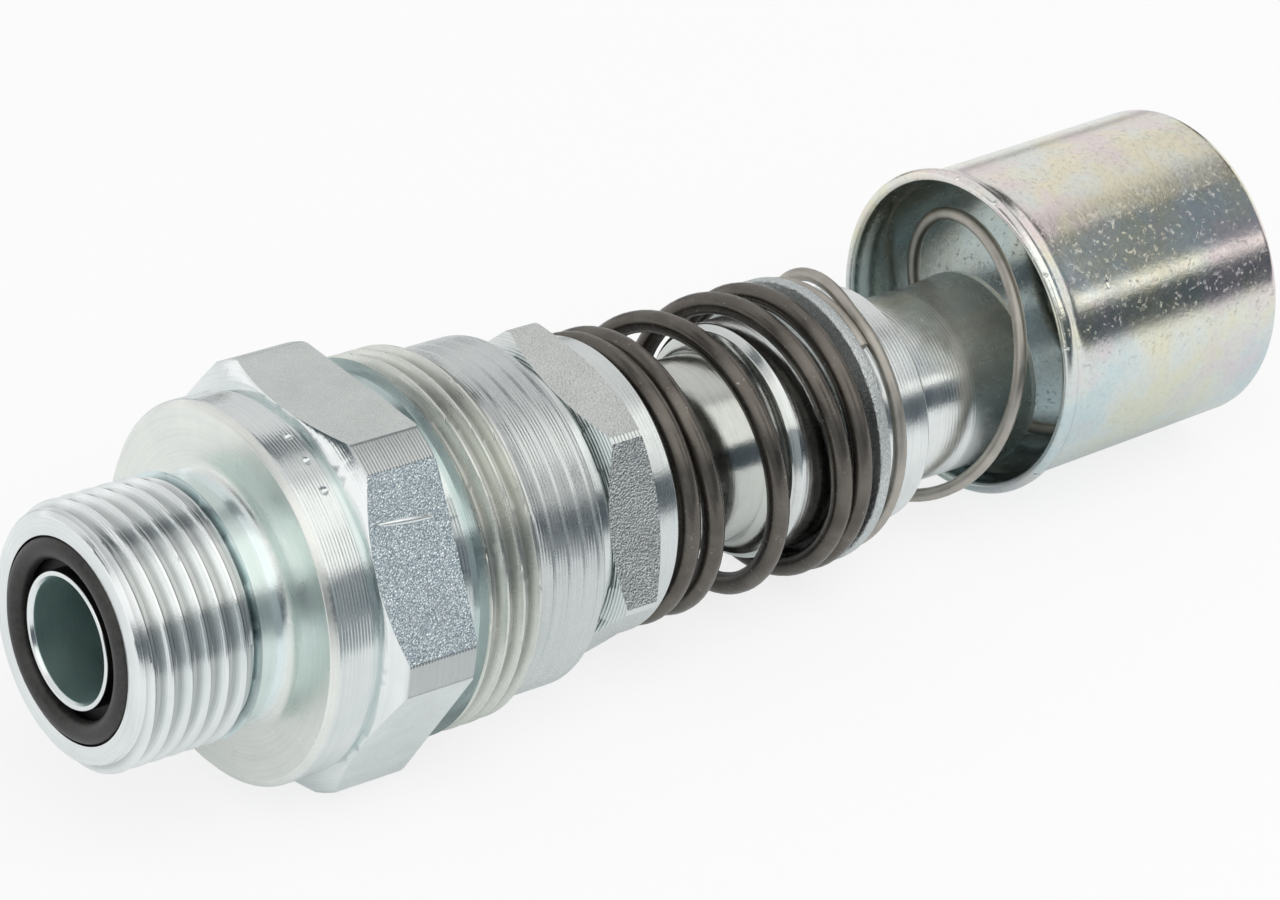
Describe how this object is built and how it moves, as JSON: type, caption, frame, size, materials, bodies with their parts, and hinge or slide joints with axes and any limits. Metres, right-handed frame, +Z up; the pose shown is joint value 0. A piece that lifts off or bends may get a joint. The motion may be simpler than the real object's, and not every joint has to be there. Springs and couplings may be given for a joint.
{
  "type": "hydraulic multi-coupler half",
  "caption": "Spring-loaded half of a multiple hydraulic coupling: hexagon adapter with a face-seal stud, sliding stem with a shut-off valve, and a guard sleeve hung on a light spring",
  "frame": {"origin": "centre of the port's sealing face, on the axis", "axes": "+X along the axis from the port face to the nose, +Z up with the part lying on a flat of its large hexagon"},
  "size_m": [0.1119, 0.0336, 0.033],
  "materials": {
    "zinc_steel": "turned, zinc plated, clear passivated",
    "passivated_zinc_steel": "drawn tube, zinc plated, faintly iridescent",
    "dark_spring_steel": "oiled spring steel, satin",
    "bright_spring_wire": "drawn spring wire, satin",
    "plain_steel": "turned",
    "brass_guide": "turned",
    "black_rubber": "matt",
    "white_plastic": "turned sealing plastic",
    "wiper_plastic": "moulded"
  },
  "bodies": {
    "adapter": {"adapter_body": "zinc_steel", "face_seal_ring": "black_rubber", "guide_nut": "zinc_steel", "guide_nut_seal": "black_rubber", "rod_seal": "black_rubber", "rod_backup_ring": "white_plastic", "rod_guide_ring": "white_plastic", "rod_wiper": "wiper_plastic", "compensating_spring": "dark_spring_steel"},
    "stem_unit": {"stem": "zinc_steel", "stop_ring": "dark_spring_steel", "spring_washer": "zinc_steel", "guard_spring": "bright_spring_wire", "nose_piece": "zinc_steel", "nose_seal": "black_rubber", "valve_guide": "brass_guide", "valve_guide_clip": "dark_spring_steel", "valve_spring": "bright_spring_wire"},
    "poppet_unit": {"poppet": "plain_steel", "poppet_seal": "black_rubber"},
    "sleeve": {"guard_sleeve": "passivated_zinc_steel"}
  },
  "joints": [
    {"name": "stem_slide", "type": "slide", "parent": "adapter", "child": "stem_unit", "axis": [1, 0, 0], "range_m": [-0.008, 0], "stiffness_N_per_m": 3900, "deforming": ["compensating_spring"]},
    {"name": "sleeve_slide", "type": "slide", "parent": "stem_unit", "child": "sleeve", "axis": [0.9992, 0, 0.0401], "range_m": [-0.008, 0], "stiffness_N_per_m": 590, "deforming": ["guard_spring"]},
    {"name": "poppet_slide", "type": "slide", "parent": "stem_unit", "child": "poppet_unit", "axis": [1, 0, 0], "range_m": [-0.004, 0], "stiffness_N_per_m": 820, "springref_m": 0.001, "deforming": ["valve_spring"]}
  ]
}
